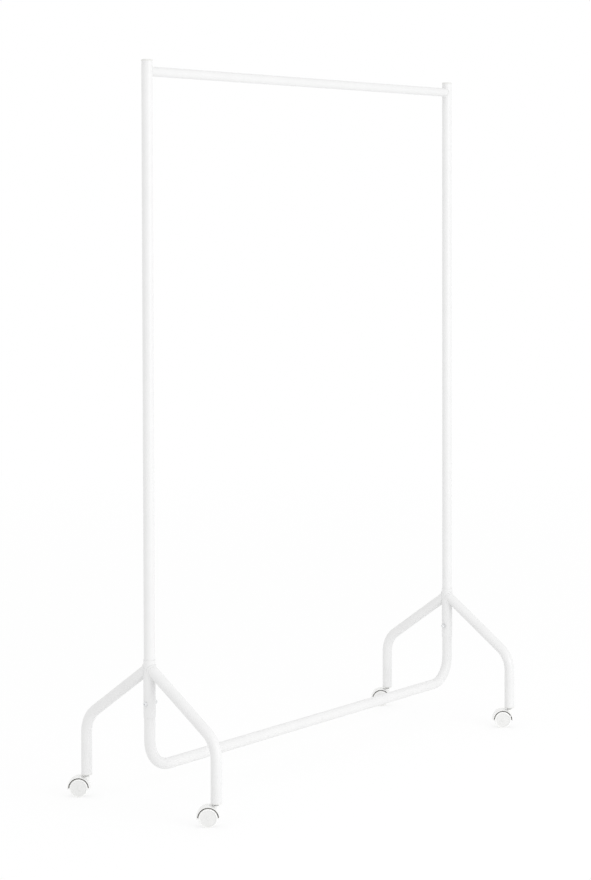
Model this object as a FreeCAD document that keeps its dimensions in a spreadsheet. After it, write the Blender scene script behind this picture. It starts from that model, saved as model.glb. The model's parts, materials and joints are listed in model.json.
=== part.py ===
import FreeCAD, Part
import math
import os

import Sketcher

# Rolling clothes rack: two uprights joined by a hanging rail, a bent base tube between the
# two ends, an arch of two legs welded to a sleeve at each end, and four twin-wheel casters.
# Frame: +X along the rail, +Y to the back, +Z up. Origin on the floor, midway between the
# four feet. Lengths in millimetres, angles in degrees.

doc = FreeCAD.newDocument("ClothesRack")
sheet = doc.addObject("Spreadsheet::Sheet", "Sizes")

drivingSizes = [
    # whole rack
    ("post_spacing", 1175, "between the axes of the two uprights"),
    ("rack_height", 1701, "floor to the top of the upright caps"),
    ("foot_spread", 399, "between the axes of the front and the back foot"),
    ("rail_drop", 27, "top of the caps down to the axis of the hanging rail"),
    # tubes
    ("tube_diameter", 25.4, "uprights, base tube and legs"),
    ("tube_wall", 1.2, "wall of every frame tube"),
    ("rail_diameter", 22.2, "hanging rail"),
    ("rail_wall", 1.2, "wall of the hanging rail"),
    # base tube
    ("base_height", 97, "floor to the axis of the bottom bar"),
    ("base_bend_radius", 64, "centre line of the two base bends"),
    ("riser_top", 322, "floor to the upper end of a riser, inside its sleeve"),
    # joint of upright, riser and sleeve
    ("spigot_length", 95, "reduced end of an upright, below its shoulder"),
    ("spigot_clearance", 0.1, "radial, spigot in riser"),
    ("shoulder_height", 6, "taper between the spigot and the full tube"),
    ("shoulder_gap", 0.4, "between the riser's end and the start of the taper"),
    ("sleeve_bottom", 214, "floor to the lower end of a sleeve"),
    ("sleeve_top", 345, "floor to the upper end of a sleeve"),
    ("sleeve_wall", 1.0, "wall of a sleeve"),
    ("sleeve_clearance", 0.15, "radial, tube in sleeve"),
    ("sleeve_chamfer", 0.4, "outer edges of a sleeve"),
    # legs
    ("leg_apex_height", 327.5, "where the two leg axes meet the upright's axis"),
    ("leg_slope", 35.5, "fall of the sloping part, from horizontal"),
    ("leg_bend_radius", 67, "centre line of the bend above a foot"),
    # upright caps and foot plugs
    ("cap_rim_height", 4.5, "rim that covers the tube's end"),
    ("cap_overhang", 0.5, "rim beyond the tube, radial"),
    ("cap_edge_radius", 2.2, "rounded top edge of a cap"),
    ("cap_depth", 16, "skirt inside the tube"),
    ("plug_clearance", 0.05, "radial, plastic plug in tube"),
    ("plug_wall", 1.8, "wall of the cap's skirt"),
    ("foot_plug_length", 30, "foot plug inside the leg"),
    ("foot_flange_height", 3, "flange below the leg's end"),
    ("foot_flange_chamfer", 0.8, "lower edge of the flange"),
    # cross bolts
    ("bolt_height", 246, "floor to the axis of a cross bolt"),
    ("bolt_diameter", 6, "shank of a cross bolt"),
    ("bolt_hole_clearance", 0.25, "radial, shank in the tube holes"),
    ("bolt_head_diameter", 10.5, "button head"),
    ("bolt_head_height", 3.3, "button head"),
    ("bolt_head_round", 2.4, "rounded rim of the head"),
    ("bolt_socket_flats", 4, "hexagon socket, across flats"),
    ("bolt_socket_depth", 2, "hexagon socket"),
    ("bolt_end_length", 7, "shank beyond the sleeve, in the nut"),
    ("nut_flats", 10, "dome nut, across flats"),
    ("nut_hex_height", 5.5, "hexagon of the dome nut"),
    ("nut_dome_height", 4.5, "dome above the hexagon"),
    ("nut_dome_diameter", 9, "dome at the hexagon"),
    ("nut_dome_round", 3.6, "rounded end of the dome"),
    ("nut_clearance", 0.05, "radial, shank in nut"),
    # casters
    ("caster_heading", 128.9, "direction in which the wheels trail, from +X"),
    ("caster_trail", 18, "stem axis to axle, horizontal"),
    ("wheel_diameter", 43, "tread"),
    ("wheel_width", 8.4, "inner end to outer face"),
    ("wheel_edge_radius", 1.6, "rounded edges of the tread"),
    ("wheel_face_recess", 0.9, "disc below the rim of the wheel"),
    ("wheel_rim", 2.8, "rim around the recessed disc"),
    ("wheel_disc", 2.2, "thickness of the disc"),
    ("wheel_tread_wall", 3, "wall under the tread"),
    ("wheel_hub_diameter", 11, "hub of a wheel"),
    ("wheel_gap", 0.5, "between a wheel and the hood's hub"),
    ("axle_diameter", 5, "steel axle"),
    ("axle_clearance", 0.05, "radial, axle in a wheel"),
    ("axle_fit", 0.02, "radial, axle in the hood"),
    ("axle_end_gap", 0.6, "axle end to the blind end of the wheel's bore"),
    ("axle_groove_width", 1.2, "groove near each axle end"),
    ("axle_groove_depth", 0.4, "groove near each axle end"),
    ("axle_groove_inset", 2, "axle end to its groove"),
    ("hood_gap", 2.3, "between the tread and the hood"),
    ("hood_wall", 1.8, "hood at its side edges"),
    ("hood_crown", 1.2, "rise of the hood between its side edges"),
    ("hood_overhang", 0.2, "hood beyond the wheel faces"),
    ("hood_wrap", 192, "angle that the hood covers, about the axle"),
    ("hood_web", 5, "web between the two wheels"),
    ("hood_hub_diameter", 12, "around the axle"),
    ("hood_hub_width", 13, "along the axle"),
    ("boss_diameter", 13, "around the stem"),
    ("boss_foot", 9.5, "axle up to the lower end of the boss"),
    ("boss_sink", 0.4, "crest of the hood down to the upper end of the boss"),
    ("boss_chamfer", 1, "upper edge of the boss"),
    ("stem_thread_diameter", 10, "stem in the foot plug"),
    ("stem_thread_length", 24, "stem above its collar"),
    ("stem_thread_clearance", 0.1, "radial, stem in the foot plug"),
    ("collar_flats", 11, "hexagonal collar, across flats"),
    ("collar_height", 2.6, "collar below the foot plug"),
    ("collar_gap", 0.5, "between the collar and the boss"),
    ("journal_diameter", 8, "stem in the hood"),
    ("journal_clearance", 0.05, "radial, journal in the hood"),
    ("journal_inset", 1.5, "lower end of the boss up to the stem"),
    ("stem_chamfer", 0.8, "both ends of the stem"),
    ("clip_inset", 4.5, "lower end of the boss up to the clip"),
    ("clip_thickness", 0.8, "retaining clip"),
    ("clip_diameter", 9.8, "outside of the clip"),
    ("clip_groove_diameter", 6.6, "groove in the stem"),
    ("clip_clearance", 0.1, "clip in its groove, all round"),
    ("clip_opening", 3, "gap of the clip"),
    ("clip_recess_gap", 0.2, "clip to the step above it"),
    ("clip_side_gap", 0.3, "clip to the recess, radial"),
]

derivedSizes = [
    ("post_x", "post_spacing / 2"),
    ("foot_y", "foot_spread / 2"),
    ("tube_radius", "tube_diameter / 2"),
    ("tube_bore", "tube_radius - tube_wall"),
    ("rail_radius", "rail_diameter / 2"),
    ("rail_bore", "rail_radius - rail_wall"),
    ("base_bend_x", "post_x - base_bend_radius"),
    ("base_bend_top", "base_height + base_bend_radius"),
    ("spigot_radius", "tube_bore - spigot_clearance"),
    ("spigot_bore", "spigot_radius - tube_wall"),
    ("spigot_top", "riser_top + shoulder_gap"),
    ("spigot_bottom", "spigot_top - spigot_length"),
    ("shoulder_top", "spigot_top + shoulder_height"),
    ("upright_top", "rack_height - cap_rim_height"),
    ("rail_height", "rack_height - rail_drop"),
    ("sleeve_bore", "tube_radius + sleeve_clearance"),
    ("sleeve_radius", "sleeve_bore + sleeve_wall"),
    ("leg_corner_height", "leg_apex_height - foot_y * tan(leg_slope * 1deg)"),
    ("leg_bend_reach", "leg_bend_radius * tan((90 - leg_slope) / 2 * 1deg)"),
    ("leg_bend_bottom", "leg_corner_height - leg_bend_reach"),
    ("leg_bend_y", "foot_y - leg_bend_reach * cos(leg_slope * 1deg)"),
    ("leg_bend_top", "leg_corner_height + leg_bend_reach * sin(leg_slope * 1deg)"),
    ("leg_bend_centre_y", "foot_y - leg_bend_radius"),
    ("cap_radius", "tube_radius + cap_overhang"),
    ("plug_radius", "tube_bore - plug_clearance"),
    ("cap_bore", "plug_radius - plug_wall"),
    ("cap_bottom", "upright_top - cap_depth"),
    ("cap_ceiling", "upright_top + plug_wall / 2"),
    ("bolt_radius", "bolt_diameter / 2"),
    ("bolt_hole_radius", "bolt_radius + bolt_hole_clearance"),
    ("bolt_head_radius", "bolt_head_diameter / 2"),
    ("bolt_head_top", "sleeve_radius + bolt_head_height"),
    ("bolt_end", "sleeve_radius + bolt_end_length"),
    ("bolt_socket_half", "bolt_socket_flats / 2"),
    ("bolt_socket_corner", "bolt_socket_flats / sqrt(3)"),
    ("bolt_socket_side", "bolt_socket_corner / 2"),
    ("nut_half", "nut_flats / 2"),
    ("nut_corner", "nut_flats / sqrt(3)"),
    ("nut_side", "nut_corner / 2"),
    ("nut_dome_radius", "nut_dome_diameter / 2"),
    ("nut_bore", "bolt_radius + nut_clearance"),
    ("nut_hex_end", "sleeve_radius + nut_hex_height"),
    ("nut_end", "nut_hex_end + nut_dome_height"),
    ("nut_bore_depth", "bolt_end_length + 2 * nut_clearance"),
    ("wheel_radius", "wheel_diameter / 2"),
    ("wheel_inner", "hood_hub_width / 2 + wheel_gap"),
    ("wheel_outer", "wheel_inner + wheel_width"),
    ("wheel_face", "wheel_outer - wheel_face_recess"),
    ("wheel_cup_end", "wheel_face - wheel_disc"),
    ("wheel_rim_radius", "wheel_radius - wheel_rim"),
    ("wheel_cup_radius", "wheel_radius - wheel_tread_wall"),
    ("wheel_hub_radius", "wheel_hub_diameter / 2"),
    ("axle_radius", "axle_diameter / 2"),
    ("wheel_bore", "axle_radius + axle_clearance"),
    ("wheel_bore_end", "wheel_face - wheel_disc / 2"),
    ("axle_end", "wheel_bore_end - axle_end_gap"),
    ("axle_groove_outer", "axle_end - axle_groove_inset"),
    ("axle_groove_inner", "axle_groove_outer - axle_groove_width"),
    ("axle_groove_radius", "axle_radius - axle_groove_depth"),
    ("axle_hole", "axle_radius + axle_fit"),
    ("hood_hub_radius", "hood_hub_diameter / 2"),
    ("hood_inner", "wheel_radius + hood_gap"),
    ("hood_edge", "hood_inner + hood_wall"),
    ("hood_side", "wheel_outer + hood_overhang"),
    ("hood_crest", "hood_edge + hood_crown"),
    ("hood_crown_radius", "(hood_side ^ 2 + hood_crown ^ 2) / (2 * hood_crown)"),
    ("hood_web_half", "hood_web / 2"),
    ("boss_radius", "boss_diameter / 2"),
    ("boss_top_rise", "hood_crest - boss_sink"),
    ("boss_height", "boss_top_rise - boss_foot"),
    ("boss_top", "wheel_radius + boss_top_rise"),
    ("boss_bottom", "wheel_radius + boss_foot"),
    ("collar_bottom", "boss_top + collar_gap"),
    ("foot_flange_bottom", "collar_bottom + collar_height"),
    ("leg_bottom", "foot_flange_bottom + foot_flange_height"),
    ("foot_plug_top", "leg_bottom + foot_plug_length"),
    ("stem_thread_radius", "stem_thread_diameter / 2"),
    ("stem_thread_hole", "stem_thread_radius + stem_thread_clearance"),
    ("stem_top", "foot_flange_bottom + stem_thread_length"),
    ("collar_half", "collar_flats / 2"),
    ("collar_corner", "collar_flats / sqrt(3)"),
    ("collar_side", "collar_corner / 2"),
    ("journal_radius", "journal_diameter / 2"),
    ("journal_hole", "journal_radius + journal_clearance"),
    ("journal_bottom", "boss_bottom + journal_inset"),
    ("clip_radius", "clip_diameter / 2"),
    ("clip_groove_radius", "clip_groove_diameter / 2"),
    ("clip_bore", "clip_groove_radius + clip_clearance"),
    ("clip_bottom", "boss_bottom + clip_inset"),
    ("clip_top", "clip_bottom + clip_thickness"),
    ("clip_groove_bottom", "clip_bottom - clip_clearance"),
    ("clip_groove_top", "clip_top + clip_clearance"),
    ("clip_opening_half", "clip_opening / 2"),
    ("clip_recess_radius", "clip_radius + clip_side_gap"),
    ("clip_recess_height", "clip_top + clip_recess_gap - boss_bottom"),
    ("wheel_offset_x", "caster_trail * cos(caster_heading * 1deg)"),
    ("wheel_offset_y", "caster_trail * sin(caster_heading * 1deg)"),
]


def fillSheet():
    """One row per size: value or formula in column A, its meaning in column B."""
    row = 1
    for alias, size, meaning in drivingSizes:
        sheet.set("A%d" % row, str(size))
        sheet.setAlias("A%d" % row, alias)
        sheet.set("B%d" % row, meaning)
        row += 1
    for alias, rule in derivedSizes:
        sheet.set("A%d" % row, "=" + rule)
        sheet.setAlias("A%d" % row, alias)
        row += 1
    doc.recompute()


def number(name):
    """The value of a size: a leading minus turns its sign, and an empty name is zero."""
    if not name:
        return 0.0
    if name.startswith("-"):
        return -float(sheet.get(name[1:]))
    return float(sheet.get(name))


def formula(name):
    """The expression that reads a size from the sheet."""
    if not name:
        return "0"
    if name.startswith("-"):
        return "-Sizes." + name[1:]
    return "Sizes." + name


def newBody(label):
    body = doc.addObject("PartDesign::Body", label)
    body.Label = label
    return body


def place(body, x="0", y="0", z="0", yaw="0", pitch="0", roll="0"):
    """Bind the body's place: roll about X, then pitch about Y, then yaw about Z."""
    body.setExpression(
        "Placement",
        "placement(vector(%s; %s; %s); rotation(%s; %s; %s))" % (x, y, z, yaw, pitch, roll))


def newSketch(body, name, role, lift=""):
    """A sketch on one of the body's origin planes, lifted along the plane's normal."""
    sketch = body.newObject("Sketcher::SketchObject", body.Name + "_" + name)
    plane = [item for item in body.Origin.OriginFeatures if item.Role == role][0]
    sketch.AttachmentSupport = (plane, [""])
    sketch.MapMode = "FlatFace"
    if lift:
        sketch.setExpression("AttachmentOffset.Base.z", formula(lift))
    return sketch


def holdPoint(sketch, geometry, end, x, y):
    """Tie one end of a curve to the sketch's axes by two sizes."""
    for kind, axis, name in (("DistanceX", -2, x), ("DistanceY", -1, y)):
        if name:
            held = sketch.addConstraint(
                Sketcher.Constraint(kind, -1, 1, geometry, end, number(name)))
            sketch.setExpression("Constraints[%d]" % held, formula(name))
        else:
            sketch.addConstraint(Sketcher.Constraint("PointOnObject", geometry, end, axis))


def holdRadius(sketch, geometry, radius):
    held = sketch.addConstraint(Sketcher.Constraint("Radius", geometry, number(radius)))
    sketch.setExpression("Constraints[%d]" % held, formula(radius))


def spot(x, y):
    return FreeCAD.Vector(number(x), number(y), 0)


def drawOutline(sketch, corners):
    """A closed outline of straight lines through corners named by their sizes."""
    lines = []
    for index, corner in enumerate(corners):
        following = corners[(index + 1) % len(corners)]
        line = Part.LineSegment(spot(*corner), spot(*following))
        lines.append(sketch.addGeometry(line, False))
    for index, line in enumerate(lines):
        following = lines[(index + 1) % len(lines)]
        sketch.addConstraint(Sketcher.Constraint("Coincident", line, 2, following, 1))
        holdPoint(sketch, line, 1, *corners[index])


def drawCircle(sketch, radius, x="", y=""):
    upward = FreeCAD.Vector(0, 0, 1)
    circle = sketch.addGeometry(Part.Circle(spot(x, y), upward, number(radius)), False)
    if x or y:
        holdPoint(sketch, circle, 3, x, y)
    else:
        sketch.addConstraint(Sketcher.Constraint("Coincident", circle, 3, -1, 1))
    holdRadius(sketch, circle, radius)


def drawHexagon(sketch, half, side, corner):
    """A hexagon about the origin: half its flats, half its side, and its corner radius."""
    drawOutline(sketch, [
        (corner, ""), (side, half), ("-" + side, half),
        ("-" + corner, ""), ("-" + side, "-" + half), (side, "-" + half)])


def bend(x, y, radius, first, last):
    """An arc about a centre named by its sizes, anticlockwise between two angles."""
    circle = Part.Circle(spot(x, y), FreeCAD.Vector(0, 0, 1), number(radius))
    return Part.ArcOfCircle(circle, math.radians(first), math.radians(last))


def run(start, end):
    return Part.LineSegment(spot(*start), spot(*end))


def drawPath(path, pieces, stops, radius):
    """Straight runs tied at both ends, with arcs of one radius between them."""
    for index, piece in enumerate(pieces):
        path.addGeometry(piece, False)
        if isinstance(piece, Part.LineSegment):
            holdPoint(path, index, 1, *stops[index])
            holdPoint(path, index, 2, *stops[index + 1])
    for index, piece in enumerate(pieces):
        if isinstance(piece, Part.LineSegment):
            continue
        path.addConstraint(Sketcher.Constraint("Coincident", index - 1, 2, index, 1))
        path.addConstraint(Sketcher.Constraint("Coincident", index, 2, index + 1, 1))
        holdRadius(path, index, radius)


def spin(body, sketch, angle=""):
    """Turn a sketch about its vertical axis: all the way, or evenly to both sides."""
    feature = body.newObject("PartDesign::Revolution", body.Name + "_spin")
    feature.Profile = sketch
    feature.ReferenceAxis = (sketch, ["V_Axis"])
    feature.Angle = 360
    if angle:
        feature.Midplane = True
        feature.setExpression("Angle", formula(angle))
    doc.recompute()
    return feature


def pad(body, sketch, name, length, middle=False, reverse=False):
    feature = body.newObject("PartDesign::Pad", body.Name + "_" + name)
    feature.Profile = sketch
    feature.SideType = "Symmetric" if middle else "One side"
    feature.Reversed = reverse
    feature.setExpression("Length", formula(length))
    doc.recompute()
    return feature


def cut(body, sketch, name, depth=""):
    """Pocket a sketch: down from its plane, or with no depth right through both ways."""
    before = body.Shape.Volume
    feature = body.newObject("PartDesign::Pocket", body.Name + "_" + name)
    feature.Profile = sketch
    if depth:
        feature.setExpression("Length", formula(depth))
    else:
        feature.Type = "ThroughAll"
        feature.SideType = "Symmetric"
    doc.recompute()
    if body.Shape.Volume >= before:
        raise RuntimeError(feature.Name + " removes nothing")
    return feature


def rings(feature, radius, height, axis="z"):
    """Names of the circular edges of one radius at one height along a body axis."""
    names = []
    for index, edge in enumerate(feature.Shape.Edges):
        curve = edge.Curve
        if not isinstance(curve, Part.Circle):
            continue
        if abs(curve.Radius - number(radius)) > 1e-4:
            continue
        if abs(getattr(curve.Center, axis) - number(height)) > 1e-4:
            continue
        names.append("Edge%d" % (index + 1))
    return names


def dress(body, base, kind, edges, size, name="edge"):
    """Fillet or chamfer some edges of the last feature."""
    feature = body.newObject("PartDesign::" + kind, body.Name + "_" + name)
    feature.Base = (base, edges)
    feature.setExpression("Radius" if kind == "Fillet" else "Size", formula(size))
    doc.recompute()
    return feature


def sweepTube(body, path, profile):
    """Carry a ring along a path."""
    feature = body.newObject("PartDesign::AdditivePipe", body.Name + "_tube")
    feature.Profile = profile
    feature.Spine = (path, ["Edge%d" % (index + 1) for index in range(path.GeometryCount)])
    doc.recompute()
    return feature


def drillForBolt(body):
    """The hole for a cross bolt, right through along X."""
    hole = newSketch(body, "bolt_hole", "YZ_Plane")
    drawCircle(hole, "bolt_hole_radius", "", "bolt_height")
    cut(body, hole, "bolt_holes")


def upright(side, x):
    body = newBody("upright_" + side)
    outline = newSketch(body, "outline", "XZ_Plane")
    drawOutline(outline, [
        ("spigot_bore", "spigot_bottom"), ("spigot_radius", "spigot_bottom"),
        ("spigot_radius", "spigot_top"), ("tube_radius", "shoulder_top"),
        ("tube_radius", "upright_top"), ("tube_bore", "upright_top"),
        ("tube_bore", "shoulder_top"), ("spigot_bore", "spigot_top")])
    spin(body, outline)
    drillForBolt(body)
    place(body, x)


def uprightCap(side, x):
    body = newBody("upright_cap_" + side)
    outline = newSketch(body, "outline", "XZ_Plane")
    drawOutline(outline, [
        ("cap_bore", "cap_bottom"), ("plug_radius", "cap_bottom"),
        ("plug_radius", "upright_top"), ("cap_radius", "upright_top"),
        ("cap_radius", "rack_height"), ("", "rack_height"),
        ("", "cap_ceiling"), ("cap_bore", "cap_ceiling")])
    turned = spin(body, outline)
    dress(body, turned, "Fillet", rings(turned, "cap_radius", "rack_height"),
          "cap_edge_radius")
    place(body, x)


def hangingRail():
    """A tube along X whose ends are coped to the round of the uprights."""
    body = newBody("hanging_rail")
    ring = newSketch(body, "ring", "YZ_Plane")
    drawCircle(ring, "rail_radius", "", "rail_height")
    drawCircle(ring, "rail_bore", "", "rail_height")
    pad(body, ring, "tube", "post_spacing", middle=True)
    cope = newSketch(body, "cope", "XY_Plane")
    drawCircle(cope, "tube_radius", "-post_x")
    drawCircle(cope, "tube_radius", "post_x")
    cut(body, cope, "copes")


def baseFrame():
    """The bottom bar and its two risers, bent from one tube."""
    body = newBody("base_frame")
    path = newSketch(body, "path", "XZ_Plane")
    stops = [
        ("-post_x", "riser_top"), ("-post_x", "base_bend_top"),
        ("-base_bend_x", "base_height"), ("base_bend_x", "base_height"),
        ("post_x", "base_bend_top"), ("post_x", "riser_top")]
    drawPath(path, [
        run(stops[0], stops[1]),
        bend("-base_bend_x", "base_bend_top", "base_bend_radius", 180, 270),
        run(stops[2], stops[3]),
        bend("base_bend_x", "base_bend_top", "base_bend_radius", 270, 360),
        run(stops[4], stops[5])], stops, "base_bend_radius")
    ring = newSketch(body, "ring", "XY_Plane", "riser_top")
    drawCircle(ring, "tube_radius", "-post_x")
    drawCircle(ring, "tube_bore", "-post_x")
    sweepTube(body, path, ring)
    drillForBolt(body)


def legSleeve(side, x):
    body = newBody("leg_sleeve_" + side)
    outline = newSketch(body, "outline", "XZ_Plane")
    drawOutline(outline, [
        ("sleeve_bore", "sleeve_bottom"), ("sleeve_radius", "sleeve_bottom"),
        ("sleeve_radius", "sleeve_top"), ("sleeve_bore", "sleeve_top")])
    tube = spin(body, outline)
    ends = rings(tube, "sleeve_radius", "sleeve_bottom")
    ends += rings(tube, "sleeve_radius", "sleeve_top")
    dress(body, tube, "Chamfer", ends, "sleeve_chamfer")
    drillForBolt(body)
    place(body, x)


def leg(end, x, yaw):
    """Straight up from the foot, a bend, then the slope up to the sleeve, coped to its round."""
    body = newBody("leg_" + end)
    path = newSketch(body, "path", "YZ_Plane")
    stops = [
        ("foot_y", "leg_bottom"), ("foot_y", "leg_bend_bottom"),
        ("leg_bend_y", "leg_bend_top"), ("", "leg_apex_height")]
    drawPath(path, [
        run(stops[0], stops[1]),
        bend("leg_bend_centre_y", "leg_bend_bottom", "leg_bend_radius",
             0, 90 - number("leg_slope")),
        run(stops[2], stops[3])], stops, "leg_bend_radius")
    ring = newSketch(body, "ring", "XY_Plane", "leg_bottom")
    drawCircle(ring, "tube_radius", "", "foot_y")
    drawCircle(ring, "tube_bore", "", "foot_y")
    sweepTube(body, path, ring)
    cope = newSketch(body, "cope", "XY_Plane")
    drawCircle(cope, "sleeve_radius")
    cut(body, cope, "coped_end")
    place(body, x, yaw=yaw)


def footPlug(end, x, y):
    """Plastic plug in the foot of a leg, with the hole that takes the caster's stem."""
    body = newBody("foot_plug_" + end)
    outline = newSketch(body, "outline", "XZ_Plane")
    drawOutline(outline, [
        ("stem_thread_hole", "foot_flange_bottom"), ("tube_radius", "foot_flange_bottom"),
        ("tube_radius", "leg_bottom"), ("plug_radius", "leg_bottom"),
        ("plug_radius", "foot_plug_top"), ("stem_thread_hole", "foot_plug_top")])
    turned = spin(body, outline)
    dress(body, turned, "Chamfer", rings(turned, "tube_radius", "foot_flange_bottom"),
          "foot_flange_chamfer")
    place(body, x, y)


def crossBolt(side, x, yaw):
    """Button-head bolt along the body's Z axis, its head on the sleeve's outer side."""
    body = newBody("cross_bolt_" + side)
    outline = newSketch(body, "outline", "XZ_Plane")
    drawOutline(outline, [
        ("", "-bolt_end"), ("bolt_radius", "-bolt_end"), ("bolt_radius", "sleeve_radius"),
        ("bolt_head_radius", "sleeve_radius"), ("bolt_head_radius", "bolt_head_top"),
        ("", "bolt_head_top")])
    turned = spin(body, outline)
    dress(body, turned, "Fillet", rings(turned, "bolt_head_radius", "bolt_head_top"),
          "bolt_head_round")
    socket = newSketch(body, "hexagon", "XY_Plane", "bolt_head_top")
    drawHexagon(socket, "bolt_socket_half", "bolt_socket_side", "bolt_socket_corner")
    cut(body, socket, "socket", "bolt_socket_depth")
    place(body, x, z="Sizes.bolt_height", yaw=yaw, pitch="90")


def domeNut(side, x, yaw):
    """Blind nut on the sleeve's inner side, in the frame of its bolt."""
    body = newBody("dome_nut_" + side)
    flats = newSketch(body, "flats", "XY_Plane", "-sleeve_radius")
    drawHexagon(flats, "nut_half", "nut_side", "nut_corner")
    pad(body, flats, "hexagon", "nut_hex_height", reverse=True)
    base = newSketch(body, "dome_base", "XY_Plane", "-nut_hex_end")
    drawCircle(base, "nut_dome_radius")
    dome = pad(body, base, "dome", "nut_dome_height", reverse=True)
    dress(body, dome, "Fillet", rings(dome, "nut_dome_radius", "-nut_end"),
          "nut_dome_round")
    thread = newSketch(body, "thread", "XY_Plane", "-sleeve_radius")
    drawCircle(thread, "nut_bore")
    cut(body, thread, "bore", "nut_bore_depth")
    place(body, x, z="Sizes.bolt_height", yaw=yaw, pitch="90")


def casterStem(end, x, y):
    """Threaded above its hexagonal collar; a plain journal with a clip groove below."""
    body = newBody("caster_stem_" + end)
    outline = newSketch(body, "outline", "XZ_Plane")
    drawOutline(outline, [
        ("", "journal_bottom"), ("journal_radius", "journal_bottom"),
        ("journal_radius", "clip_groove_bottom"), ("clip_groove_radius", "clip_groove_bottom"),
        ("clip_groove_radius", "clip_groove_top"), ("journal_radius", "clip_groove_top"),
        ("journal_radius", "foot_flange_bottom"), ("stem_thread_radius", "foot_flange_bottom"),
        ("stem_thread_radius", "stem_top"), ("", "stem_top")])
    turned = spin(body, outline)
    tips = rings(turned, "journal_radius", "journal_bottom")
    tips += rings(turned, "stem_thread_radius", "stem_top")
    dress(body, turned, "Chamfer", tips, "stem_chamfer")
    flats = newSketch(body, "flats", "XY_Plane", "collar_bottom")
    drawHexagon(flats, "collar_half", "collar_side", "collar_corner")
    pad(body, flats, "collar", "collar_height")
    place(body, x, y)


def casterClip(end, x, y):
    """Open ring in the stem's groove, below the step in the hood's boss."""
    body = newBody("caster_clip_" + end)
    ring = newSketch(body, "ring", "XY_Plane", "clip_bottom")
    drawCircle(ring, "clip_radius")
    drawCircle(ring, "clip_bore")
    pad(body, ring, "plate", "clip_thickness")
    mouth = newSketch(body, "mouth", "XY_Plane")
    drawOutline(mouth, [
        ("", "-clip_opening_half"), ("clip_diameter", "-clip_opening_half"),
        ("clip_diameter", "clip_opening_half"), ("", "clip_opening_half")])
    cut(body, mouth, "opening")
    place(body, x, y)


def casterHood(end, x, y):
    """Hood over both wheels, with its web, axle hub and stem boss, moulded in one.

    The body's own frame is the wheels': origin at the middle of the axle, X the way the
    wheels trail, Y up and Z along the axle.
    """
    body = newBody("caster_hood_" + end)
    section = newSketch(body, "section", "YZ_Plane")
    corners = [
        ("hood_edge", "-hood_side"), ("hood_inner", "-hood_side"),
        ("hood_inner", "-hood_web_half"), ("axle_radius", "-hood_web_half"),
        ("axle_radius", "hood_web_half"), ("hood_inner", "hood_web_half"),
        ("hood_inner", "hood_side"), ("hood_edge", "hood_side")]
    for start, following in zip(corners, corners[1:]):
        section.addGeometry(run(start, following), False)
    for index in range(len(corners) - 1):
        holdPoint(section, index, 1, *corners[index])
        if index:
            section.addConstraint(Sketcher.Constraint("Coincident", index - 1, 2, index, 1))
    last = len(corners) - 2
    holdPoint(section, last, 2, *corners[-1])
    crest = Part.Arc(spot(*corners[0]), spot("hood_crest", ""), spot(*corners[-1]))
    crown = section.addGeometry(crest, False)
    section.addConstraint(Sketcher.Constraint("Coincident", crown, 1, 0, 1))
    section.addConstraint(Sketcher.Constraint("Coincident", crown, 2, last, 2))
    holdRadius(section, crown, "hood_crown_radius")
    spin(body, section, "hood_wrap")
    hub = newSketch(body, "hub", "XY_Plane")
    drawCircle(hub, "hood_hub_radius")
    pad(body, hub, "axle_hub", "hood_hub_width", middle=True)
    boss = newSketch(body, "boss", "XZ_Plane", "-boss_top_rise")
    drawCircle(boss, "boss_radius", "-caster_trail")
    moulding = pad(body, boss, "stem_boss", "boss_height")
    dress(body, moulding, "Chamfer", rings(moulding, "boss_radius", "boss_top_rise", "y"),
          "boss_chamfer")
    axleHole = newSketch(body, "axle_hole", "XY_Plane")
    drawCircle(axleHole, "axle_hole")
    cut(body, axleHole, "axle_bore")
    stemHole = newSketch(body, "stem_hole", "XZ_Plane")
    drawCircle(stemHole, "journal_hole", "-caster_trail")
    cut(body, stemHole, "stem_bore")
    recess = newSketch(body, "recess", "XZ_Plane", "-boss_foot")
    drawCircle(recess, "clip_recess_radius", "-caster_trail")
    cut(body, recess, "clip_recess", "clip_recess_height")
    atWheels(body, x, y)


def casterAxle(end, x, y):
    body = newBody("caster_axle_" + end)
    outline = newSketch(body, "outline", "XZ_Plane")
    half = [
        ("axle_radius", "axle_groove_inner"), ("axle_groove_radius", "axle_groove_inner"),
        ("axle_groove_radius", "axle_groove_outer"), ("axle_radius", "axle_groove_outer"),
        ("axle_radius", "axle_end"), ("", "axle_end")]
    mirrored = [(r, "-" + z) for r, z in reversed(half)]
    drawOutline(outline, mirrored + half)
    spin(body, outline)
    atWheels(body, x, y)


def casterWheel(end, x, y, letter, turn):
    """Cup-shaped wheel: tread, disc with a raised rim, and a hub with a blind bore."""
    body = newBody("caster_wheel_%s_%s" % (end, letter))
    outline = newSketch(body, "outline", "XZ_Plane")
    drawOutline(outline, [
        ("wheel_bore", "wheel_inner"), ("wheel_hub_radius", "wheel_inner"),
        ("wheel_hub_radius", "wheel_cup_end"), ("wheel_cup_radius", "wheel_cup_end"),
        ("wheel_cup_radius", "wheel_inner"), ("wheel_radius", "wheel_inner"),
        ("wheel_radius", "wheel_outer"), ("wheel_rim_radius", "wheel_outer"),
        ("wheel_rim_radius", "wheel_face"), ("", "wheel_face"),
        ("", "wheel_bore_end"), ("wheel_bore", "wheel_bore_end")])
    turned = spin(body, outline)
    treads = rings(turned, "wheel_radius", "wheel_inner")
    treads += rings(turned, "wheel_radius", "wheel_outer")
    dress(body, turned, "Fillet", treads, "wheel_edge_radius")
    atWheels(body, x, y, turn)


def atWheels(body, x, y, turn=0):
    """Put a body at the middle of the axle, turned half round for the second wheel."""
    place(body, x + " + Sizes.wheel_offset_x", y + " + Sizes.wheel_offset_y",
          "Sizes.wheel_radius", "Sizes.caster_heading + %d" % turn, roll="90")


fillSheet()

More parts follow.
